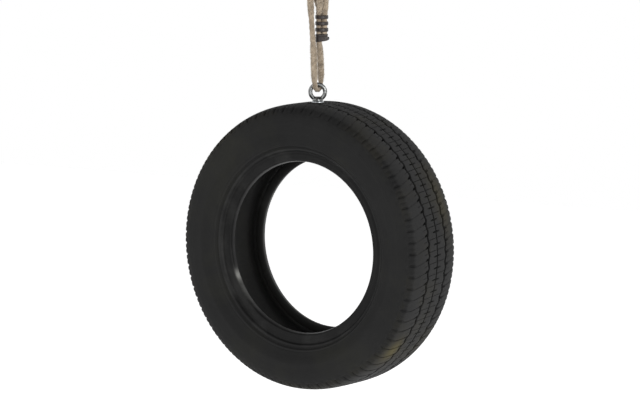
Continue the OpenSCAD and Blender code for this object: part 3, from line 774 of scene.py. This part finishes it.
def liner():
    """A closed shell between the ply and the air, from bead to bead; its open face carries ribs
    0.25 mm high that cross it at a slant, 260 round the tyre."""
    half = np.concatenate([np.linspace(0, 1, 30), np.linspace(1, LINER_END, 20)[1:]])
    s = np.concatenate([-half[:0:-1], half])
    size, sign = np.abs(s), np.where(s < 0, -1, 1)
    angle = full_turn(1040)
    rib_h = 0.00025
    ribs = rib_h * np.clip(np.cos(260 * (angle[None] + 0.10 * s[:, None])) * 1.4 - 0.4, 0, 1)
    ribs[[0, -1]] = 0
    liner_depth = ply_depth(size)[:, None] + ply_half + ply_t + ribs - rib_h
    inner = under(np.broadcast_to(size[:, None], ribs.shape), liner_depth)
    outer = under(size[::-1], ply_depth(size[::-1]) + ply_half)[:, None] + 0 * ribs[..., None]
    signs = np.concatenate([sign, sign[::-1]])[:, None]
    line = np.concatenate([inner, outer])
    points = about_axis(signs * line[..., 0], line[..., 1], angle[None])
    return points, closed_faces(points)


lining = turned_outwards(new_piece("butyl_liner", *liner()))
liner_rubber = rubber("butyl_liner_rubber", "3a3a3a", "4b4b4a", "474640", 0.4, 0.6, grain_mm=3.0)
fitting(lining, "inner_liner", "tyre", liner_rubber)

# ---- Zinc and steel finishes ----------------------------------------------------------------
# The fittings are mild steel, electroplated with bright zinc: a cool grey shine, clouded where the
# plate has dulled, with a fine grain left by the tumbling barrel.


def plated(name, bright, dull, roughness, tarnish=0.5):
    """Zinc plate: two greys in clouds 4 mm wide, rougher where it is duller, over a fine grain."""
    material, tree, shader = new_material(name, Metallic=1.0, Roughness=roughness)
    clouds = noise(tree, 240, 5, 0.65)
    coloured(tree, shader, clouds, "Fac", [(0.40, bright), (0.40 + 0.4 * tarnish, dull)])
    rough = add(tree, "ShaderNodeMapRange", [(clouds, "Fac", "Value")])
    rough.inputs["To Min"].default_value = roughness - 0.06
    rough.inputs["To Max"].default_value = roughness + 0.22
    tree.links.new(rough.outputs["Result"], shader.inputs["Roughness"])
    bumped(tree, shader, noise(tree, 2600), 0.22, 0.0001)
    return material


bright_zinc = plated("bright_zinc_plate", "c9ccce", "8f9396", 0.26)
worn_zinc = plated("worn_zinc_plate", "9c9e9e", "3a3936", 0.20, 0.6)
galvanised = plated("hot_galvanised_forging", "8e9294", "5d6163", 0.46, 0.6)


def placed(points, origin, axis=(0, 0, 1), turn=0.0):
    """Points of a shape made about +Z, turned about it and carried so that +Z runs along an axis."""
    z = np.array(axis, float)
    x = np.array([1.0, 0, 0]) if abs(z[0]) < 0.9 else np.array([0, 1.0, 0])
    y = np.cross(z, x)
    p = np.asarray(points)
    c, s = math.cos(turn), math.sin(turn)
    flat = np.stack([p[..., 0] * c - p[..., 1] * s, p[..., 0] * s + p[..., 1] * c, p[..., 2]], -1)
    return flat[..., :1] * x + flat[..., 1:2] * y + flat[..., 2:] * z + np.array(origin)


def turned(profile, sides=96):
    """A closed profile of (distance out, height) pairs turned about +Z."""
    a = full_turn(sides)
    p = np.array(profile, float)
    points = about_z(p[:, :1], a, p[:, 1:])
    return points, closed_faces(points)


def punched_ring(outer, inner, t):
    """Profile of a punched washer: rolled edge on top, square break with a slight burr below."""
    e = min(0.0004, t / 4)
    return [(inner, e), (inner, t - e), (inner + e, t), (outer - 2 * e, t), (outer - 0.7 * e, t - 0.3 * e),
            (outer, t - 1.6 * e), (outer, e), (outer - e, 0), (inner + e, 0)]


def hexagonal(across_flats, height, bore, both_ends=True, sides=96):
    """A nut or head. Seen from above its edge is a hexagon; towards each chamfered end a cone with
    its rim at 0.97 of the flats cuts the corners off. A nut's bore is countersunk at both ends."""
    a = full_turn(sides)
    half = across_flats / 2
    flats = half / np.cos((a + math.pi / 6) % (math.pi / 3) - math.pi / 6)
    rows = []
    for z in np.concatenate([np.linspace(0, 0.24, 7), np.linspace(0.76, 1, 7)]) * height:
        top_cone = 0.97 * half + (height - z) * math.sqrt(3)
        low_cone = 0.97 * half + z * math.sqrt(3) if both_ends else half * 2
        r = np.minimum(flats, min(top_cone, low_cone))
        rows.append(about_z(r, a, z))
    hole = [(0.0004, height), (0.0004, 0)]
    if bore:
        hole = [(bore + 0.0006, height), (bore, height - 0.0006), (bore, 0.0006), (bore + 0.0006, 0)]
    for r, z in hole:
        rows.append(about_z(r, a, z))
    points = np.stack(rows)
    return points, closed_faces(points)


def threaded(d, low, high, thread_low, pitch, sides=48):
    """A shank about +Z from low to high, whose surface above thread_low is a helix: the depth at
    a height is a rounded saw wave of height over pitch less the share of a turn."""
    a = full_turn(sides)[None]
    tip = high - 0.0008
    z = np.concatenate([[low], np.arange(thread_low, tip, pitch / 7), [tip, high]])[:, None]
    wave = 0.5 + 0.5 * np.cos(2 * math.pi * (z / pitch - a / (2 * math.pi)))
    inside = (z > thread_low) & (z < high - 0.0004)
    r = d / 2 - np.where(inside, 0.54 * pitch * wave, 0) - np.where(z >= high, 0.0008, 0) + 0 * a
    return about_z(r, a, z), tube_faces(len(z), sides)


def extent(node):
    """Low and high corner of a CAD node's box."""
    low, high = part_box(node)
    return np.array(low), np.array(high)


def punched_washer(node, body, inner):
    """A punched washer that lies flat, as wide and as thick as its CAD node."""
    low, high = extent(node)
    points, faces = turned(punched_ring((high[0] - low[0]) / 2, inner, high[2] - low[2]))
    points = points + [0, 0, low[2]]
    washer = turned_outwards(new_piece(node + "_punched", points, faces, crease=sharp_edge))
    fitting(washer, node, body, bright_zinc)


head_share = 0.66  # height of a hexagon head over its thread's diameter


def hexagon_bolt(name, node, body, origin, axis, ends, thread_low, size):
    """A bolt along an axis through origin, from the head's outer face to the tip. Size is the
    thread's diameter and pitch and the head's width across flats."""
    d, pitch, flats = size
    head_h = head_share * d
    neck = ends[0] + head_h
    head, head_faces = hexagonal(flats, head_h, 0, both_ends=False)
    head = placed(head, np.array(origin) + neck * np.array(axis), [-k for k in axis])
    shank, shank_faces = threaded(d, neck - 0.001, ends[1], thread_low, pitch)
    parts = [(head, head_faces.tolist()), (placed(shank, origin, axis), shank_faces)]
    fitting(turned_outwards(new_piece(name, *joined(parts), crease=sharp_edge)), node, body, bright_zinc)


# ---- Eye nut --------------------------------------------------------------------------------
# A drop-forged M8 eye nut: a round base, a short neck that flows into the ring, and the ring
# itself, 20 mm inside. It is turned 35 degrees from the tyre's plane.

eye_low, eye_high = extent("eye_nut")
eye_turn = math.radians(35)
eye_wire_r, eye_mean_r = 0.004, 0.014
eye_middle = np.array([0, 0, eye_high[2] - eye_wire_r - eye_mean_r])


def torus(mean_r, wire_r, rings=96, sides=32):
    """A ring that stands in the XZ plane: angle a round the ring, b round its wire."""
    a = full_turn(rings)[:, None]
    b = full_turn(sides)[None]
    reach = mean_r + wire_r * np.cos(b)
    points = np.stack([reach * np.cos(a), wire_r * np.sin(b) + 0 * a, reach * np.sin(a)], -1)
    return points, closed_faces(points)


def applied(piece):
    """Turns a piece's modifiers into mesh and shades it smooth."""
    whole = bpy.data.meshes.new_from_object(piece.evaluated_get(bpy.context.evaluated_depsgraph_get()))
    piece.modifiers.clear()
    piece.data = whole
    whole.polygons.foreach_set("use_smooth", [True] * len(whole.polygons))
    return piece


def fused(piece, voxel, smoothings):
    """Melts a piece's overlapping shells into one closed skin and relaxes it to soft fillets."""
    melt = piece.modifiers.new("melt", "REMESH")
    melt.mode = "VOXEL"
    melt.voxel_size = voxel
    relax = piece.modifiers.new("relax", "SMOOTH")
    relax.factor, relax.iterations = 0.5, smoothings
    return applied(piece)


base_h = 0.0055
eye_base = [(0.0003, 0), (0.0093, 0), (0.0100, 0.0008), (0.0100, base_h - 0.0007), (0.0094, base_h),
            (0.0071, base_h + 0.0022), (0.0062, base_h + 0.0036), (0.0003, base_h + 0.0036)]
base_points, base_faces = turned(eye_base, 72)
ring_points, ring_faces = torus(eye_mean_r, eye_wire_r)
c, s = math.cos(eye_turn), math.sin(eye_turn)
ring_points = ring_points @ np.array([[c, s, 0], [-s, c, 0], [0, 0, 1]]) + eye_middle
base_points = base_points + [0, 0, eye_low[2]]
eye_parts = [(base_points, base_faces.tolist()), (ring_points, ring_faces.tolist())]
eye = fused(turned_outwards(new_piece("forged_eye_nut", *joined(eye_parts))), 0.00045, 4)
fitting(eye, "eye_nut", "tyre", worn_zinc)

# ---- Bolt and washers through the crown -----------------------------------------------------
# An M8 hexagon bolt comes up from inside the tyre, through a spring washer, a large washer under
# the liner and a washer let into the tread, and holds the eye nut down. All are zinc plated.

m8_bore_r = 0.00425
punched_washer("tread_washer", "tyre", m8_bore_r)
punched_washer("spreader_washer", "tyre", m8_bore_r)


def spring_washer(inner, outer, t):
    """A square bar wound once round, its cut ends 0.2 mm apart in height: height rises with the
    angle by a tenth of its thickness, and the bar is thinned by as much to stay inside its box."""
    a = np.linspace(0.06, 2 * math.pi - 0.06, 80)[:, None]
    bar = rounded_section((outer - inner) / 2, 0.45 * t, 8, 24)[None]
    reach = (outer + inner) / 2 + bar[..., 0]
    height = 0.45 * t + bar[..., 1] + 0.1 * t * a / (2 * math.pi)
    return about_z(reach, a, height), tube_faces(80, 24)


low, high = extent("lock_washer")
points, faces = spring_washer(m8_bore_r, (high[0] - low[0]) / 2, high[2] - low[2])
spring = turned_outwards(new_piece("spring_washer_m8", points + [0, 0, low[2]], faces))
fitting(spring, "lock_washer", "tyre", bright_zinc)

low, high = extent("eye_bolt")
m8 = (0.008, 0.00125, 0.013)
hexagon_bolt("hexagon_bolt_m8", "eye_bolt", "tyre", (0, 0, 0), (0, 0, 1), (low[2], high[2]),
             low[2] + head_share * m8[0] + 0.012, m8)

# ---- Clamp screws ---------------------------------------------------------------------------
# Two short pan-head screws side by side in the block's back face, one into each rope end. Each
# head is domed and has a cross recess; the plate is bright zinc.


def pan_head(r, h):
    """Height over the head's seat: a dome that drops to the rim as the fourth power of the
    distance out, less a cross recess 0.9 mm wide that gets shallower outwards."""
    out = np.concatenate([np.linspace(0.02, 0.62, 16), np.linspace(0.66, 1, 10)])[:, None] * r
    a = full_turn(72)[None]
    x, y = out * np.cos(a), out * np.sin(a)
    arm = np.minimum(np.abs(x), np.abs(y))
    recess = 0.0011 * np.clip(1 - arm / 0.0005, 0, 1) ** 0.5 * np.clip(1 - out / (0.62 * r), 0, 1) ** 0.5
    dome = h * (1 - 0.45 * (out / r) ** 4) - recess
    rows = [np.stack([x, y, dome], -1), np.stack([x[-1:], y[-1:], 0 * x[-1:]], -1),
            np.stack([0.02 * x[-1:], 0.02 * y[-1:], 0 * x[-1:]], -1)]
    points = np.concatenate(rows)
    return points, closed_faces(points)


screw_z = block_top - 0.0085
screws = []
back_face = strands[2] - strands[1]
way = np.array([back_face[1], -back_face[0]]) / np.linalg.norm(back_face)
for strand in strands[1:]:
    seat = np.array([*(strand + (strand_hole_r + block_wall) * way), screw_z])
    points, faces = pan_head(0.0035, 0.002)
    screws.append((placed(points, seat, (*way, 0), 0.4), faces.tolist()))
    points, faces = threaded(0.0035, -0.0087, -0.0001, -0.0086, 0.0009, 32)
    screws.append((placed(points, seat, (*way, 0)), faces))
screws = turned_outwards(new_piece("pan_head_screws", *joined(screws), crease=sharp_edge))
fitting(screws, "clamp_screws", "rope", bright_zinc)

# ---- Hanging ring ---------------------------------------------------------------------------
# A welded ring of 10 mm round bar, zinc plated. The butt weld leaves a low swelling at its side.

ring_low, ring_high = extent("hanging_ring")
ring_wire_r = (ring_high[1] - ring_low[1]) / 2
ring_mean_r = (ring_high[2] - ring_low[2]) / 2 - ring_wire_r
ring_points, ring_faces = torus(ring_mean_r, ring_wire_r, 144, 40)
ring_middle = (ring_low + ring_high) / 2
way_round = full_turn(144)
swelling = 0.035 * bell(way_round, 2.6, 0.05) * (1 + 0.3 * np.cos(90 * way_round))
wire_line = ring_mean_r * np.stack([np.cos(way_round), 0 * way_round, np.sin(way_round)], 1)[:, None]
ring_points = wire_line + (ring_points - wire_line) * (1 + swelling)[:, None, None] + ring_middle
hanging_ring = turned_outwards(new_piece("welded_hanging_ring", ring_points, ring_faces))
fitting(hanging_ring, "hanging_ring", "ring", bright_zinc)

# ---- Swivel: clevis, bolt, nuts and washers -------------------------------------------------
# The clevis is a hot-galvanised forging on an M12 stem. Its bolt, nut and washers, and the nut and
# washer that carry the stem inside the cup, are zinc plated.


def edged(node, name, width, segments=3):
    """A copy of a CAD node's mesh with its doubled points merged, its flat faces cleaned and its
    edges rounded by a bevel of the given width."""
    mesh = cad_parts[node].data.copy()
    mesh.name = name
    piece = bpy.data.objects.new(name, mesh)
    bpy.context.scene.collection.objects.link(piece)
    turned_outwards(piece, merge_flats=True)
    round_off = piece.modifiers.new("round_off", "BEVEL")
    round_off.width, round_off.segments = width, segments
    round_off.limit_method, round_off.angle_limit = "ANGLE", math.radians(32)
    round_off.harden_normals = True
    return applied(piece)


clevis = edged("swivel_clevis", "forged_clevis", 0.0009)
fitting(clevis, "swivel_clevis", "swivel", galvanised)

low, high = extent("swivel_nut")
points, faces = hexagonal(0.019, high[2] - low[2], 0.006)
nut = turned_outwards(new_piece("swivel_nut_m12", points + [0, 0, low[2]], faces, crease=sharp_edge))
fitting(nut, "swivel_nut", "swivel", bright_zinc)

punched_washer("swivel_washer", "swivel", 0.00625)

low, high = extent("clevis_bolt")
bolt_z = (low[2] + high[2]) / 2
flats = 0.017
hexagon_bolt("clevis_bolt_m10", "clevis_bolt", "swivel", (0, 0, bolt_z), (0, 1, 0), (low[1], high[1]),
             high[1] - 0.018, (0.010, 0.0015, flats))

low, high = extent("clevis_nut")
points, faces = hexagonal(flats, high[1] - low[1], 0.005)
nut = new_piece("clevis_nut_m10", placed(points, [0, low[1], bolt_z], (0, 1, 0)), faces, crease=sharp_edge)
fitting(turned_outwards(nut), "clevis_nut", "swivel", bright_zinc)

low, high = extent("clevis_washers")
washer_t = 0.002
ring, faces = turned(punched_ring((high[0] - low[0]) / 2, 0.00525, washer_t))
pair = [(placed(ring, [0, side * (high[1] - washer_t), bolt_z], (0, side, 0)), faces.tolist())
        for side in (-1, 1)]
washers = turned_outwards(new_piece("clevis_washers_punched", *joined(pair), crease=sharp_edge))
fitting(washers, "clevis_washers", "swivel", bright_zinc)

# ---- Ceiling plate and its bush -------------------------------------------------------------
# A 5 mm steel plate with a pressed cup, zinc plated, for four screws into a beam. The stem turns
# in a flanged bush of natural nylon at the bottom of the cup.

plate = edged("mounting_plate", "cupped_ceiling_plate", 0.0007)
fitting(plate, "mounting_plate", "hanger", bright_zinc)

bush = edged("swivel_bush", "nylon_flange_bush", 0.0004)
nylon, tree, shader = new_material("natural_nylon", Roughness=0.42, IOR=1.53, Subsurface_Weight=0.15)
shader.inputs["Subsurface Radius"].default_value = (0.002, 0.0018, 0.0014)
coloured(tree, shader, noise(tree, 160, 3), "Fac", [(0.35, "e3dfcf"), (0.7, "cfc8b2")])
fitting(bush, "swivel_bush", "hanger", nylon)

# ---- Hidden layers of the tyre --------------------------------------------------------------
# Cord layers and bead bundles inside the rubber. Their shapes are the model's own; only their
# materials are made here, with the lie of the cords at their real spacing.


def corded(name, cord, gum, spacing, slant):
    """Cords in rubber: stripes at a real spacing that cross the tyre at a slant, round in section."""
    material, tree, shader = new_material(name, Roughness=0.6)
    place = add(tree, "ShaderNodeTexCoord")
    level = add(tree, "ShaderNodeMapping", [(place, "Object", "Vector")])
    level.inputs["Location"].default_value = tuple(-tyre_centre)
    level.inputs["Rotation"].default_value = (0, 0, slant)
    cords = add(tree, "ShaderNodeTexWave", [(level, "Vector", "Vector")], Scale=math.pi / (10 * spacing))
    coloured(tree, shader, cords, "Fac", [(0.3, gum), (0.7, cord)])
    bumped(tree, shader, cords, 0.5, 0.0003)
    return material


steel_up = corded("brassed_steel_cord_up", "a38a58", "1a1918", 0.0012, math.radians(22))
steel_down = corded("brassed_steel_cord_down", "a38a58", "1a1918", 0.0012, math.radians(-22))
polyester = corded("rubbered_polyester_cord", "b39a70", "1c1a18", 0.0011, 0.0)
bead_wire = corded("bronzed_bead_wire", "9a7447", "241f1a", 0.0014, math.radians(90))
filler = rubber("hard_filler_rubber", "1a1a1c", "222224", "2a2a28", 0.2, 0.5)
for node, finish in (("upper_belt", steel_up), ("lower_belt", steel_down), ("carcass_ply", polyester),
                     ("front_bead_core", bead_wire), ("rear_bead_core", bead_wire),
                     ("front_bead_filler", filler), ("rear_bead_filler", filler)):
    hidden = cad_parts[node]
    hidden.data.materials.clear()
    hidden.data.materials.append(finish)

# ---- Floor and light ------------------------------------------------------------------------
# A pale studio: a white floor well below the hanging tyre, a white surround, and three soft
# lamps: one large above the left front, one low fill on the right, one behind for the rim.

paper_half, floor_z = 6.0, tread_low[2] - 0.42
corners = [(x * paper_half, y * paper_half, floor_z) for x, y in ((-1, -1), (1, -1), (1, 1), (-1, 1))]
floor = new_piece("floor", corners, [[0, 1, 2, 3]])
paper, *_ = new_material("white_floor_paper", Roughness=0.9, Base_Color=linear("fbfbfb"),
                         Emission_Color=linear("ffffff"), Emission_Strength=0.62)
floor.data.materials.append(paper)

bpy.context.scene.view_settings.view_transform = "Standard"
world = bpy.context.scene.world or bpy.data.worlds.new("studio")
bpy.context.scene.world = world
world.use_nodes = True

# White all round, with a darker ceiling over it that gives the steel something to reflect.
tree = world.node_tree
way = add(tree, "ShaderNodeTexCoord")
height = add(tree, "ShaderNodeSeparateXYZ", [(way, "Generated", "Vector")])
ceiling = ramp(tree, height, "Z", [(0.25, "ffffff"), (0.75, "6a6a6a")])
tree.links.new(ceiling.outputs["Color"], tree.nodes["Background"].inputs["Color"])


def lamp(name, place, aim, width, watts):
    """A square soft lamp at a place, turned to face a point."""
    light = bpy.data.lights.new(name, "AREA")
    light.size, light.energy = width, watts
    made = bpy.data.objects.new(name, light)
    made.location = place
    look = mathutils.Vector(aim) - mathutils.Vector(place)
    made.rotation_euler = look.to_track_quat("-Z", "Y").to_euler()
    bpy.context.scene.collection.objects.link(made)


lamp("key", (-1.6, -3.0, 2.6), tyre_centre, 2.4, 40)
lamp("fill", (3.6, -1.6, 0.4), tyre_centre, 2.0, 60)
lamp("rim", (1.0, 3.0, 1.8), tyre_centre, 2.0, 30)
